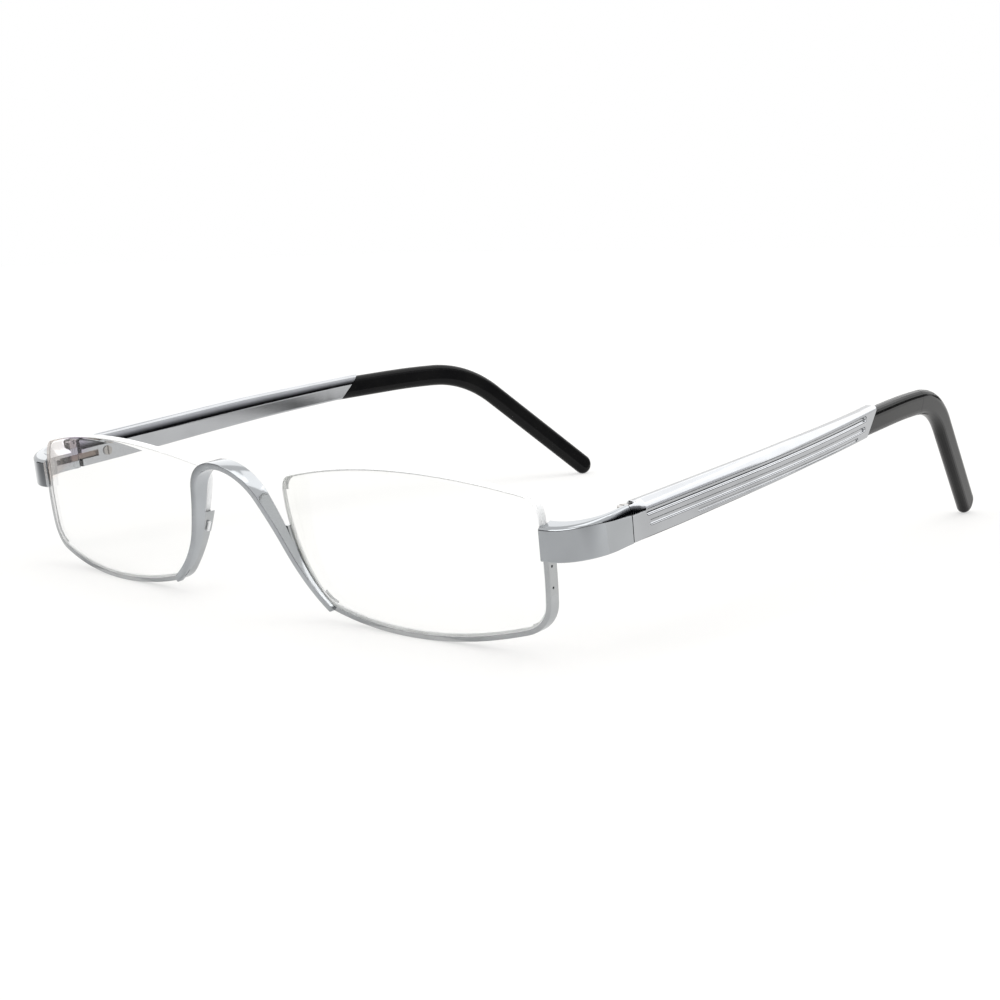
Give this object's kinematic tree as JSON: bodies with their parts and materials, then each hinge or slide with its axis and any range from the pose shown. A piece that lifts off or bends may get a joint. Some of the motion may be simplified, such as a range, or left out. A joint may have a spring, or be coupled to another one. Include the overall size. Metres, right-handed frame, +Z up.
{
  "type": "half-rim reading glasses",
  "caption": "Half-rim reading glasses with clear half-eye lenses held by nylon thread, a saddle bridge and spring-hinged metal arms with dark plastic tips.",
  "frame": {"origin": "centre of the bounding box, at the height of the table the open glasses stand on", "axes": "+X to the wearer's left, which is the near side in the picture, +Y from the front back along the arms, +Z up"},
  "size_m": [0.1354, 0.1539, 0.0287],
  "materials": {
    "bridge_metal": "polished",
    "rim_metal": "polished",
    "endpiece_metal": "polished",
    "temple_metal": "polished",
    "screw_metal": "polished",
    "hinge_metal": "satin",
    "spring_metal": "drawn wire",
    "core_metal": "drawn wire",
    "lens": "clear, coated",
    "thread": "clear nylon",
    "liner": "clear nylon",
    "tip_plastic": "polished acetate"
  },
  "bodies": {
    "front": {"bridge": "bridge_metal", "left_lens": "lens", "left_rim": "rim_metal", "left_rim_liner": "liner", "left_lens_thread": "thread", "left_endpiece": "endpiece_metal", "left_hinge_screw": "screw_metal", "right_lens": "lens", "right_rim": "rim_metal", "right_rim_liner": "liner", "right_lens_thread": "thread", "right_endpiece": "endpiece_metal", "right_hinge_screw": "screw_metal"},
    "left_hinge": {"left_hinge_slider": "hinge_metal", "left_hinge_spring": "spring_metal", "left_rod_nut": "hinge_metal"},
    "left_arm": {"left_temple": "temple_metal", "left_hinge_stop": "hinge_metal", "left_stop_screw": "screw_metal", "left_tip_core": "core_metal", "left_temple_tip": "tip_plastic"},
    "right_hinge": {"right_hinge_slider": "hinge_metal", "right_hinge_spring": "spring_metal", "right_rod_nut": "hinge_metal"},
    "right_arm": {"right_temple": "temple_metal", "right_hinge_stop": "hinge_metal", "right_stop_screw": "screw_metal", "right_tip_core": "core_metal", "right_temple_tip": "tip_plastic"}
  },
  "joints": [
    {"name": "right_fold", "type": "hinge", "parent": "front", "child": "right_hinge", "pos_m": [0.06585, -0.05718, 0.01844], "axis": [0, -0.1045, 0.9945], "range_deg": [0, 86]},
    {"name": "right_flex", "type": "slide", "parent": "right_hinge", "child": "right_arm", "axis": [0, 0.9945, 0.1045], "range_m": [0, 0.0009], "stiffness_N_per_m": 400, "springref_m": -0.002},
    {"name": "left_fold", "type": "hinge", "parent": "front", "child": "left_hinge", "pos_m": [-0.06585, -0.05718, 0.01844], "axis": [0, 0.1045, -0.9945], "range_deg": [0, 81]},
    {"name": "left_flex", "type": "slide", "parent": "left_hinge", "child": "left_arm", "axis": [0, 0.9945, 0.1045], "range_m": [0, 0.0009], "stiffness_N_per_m": 400, "springref_m": -0.002}
  ]
}
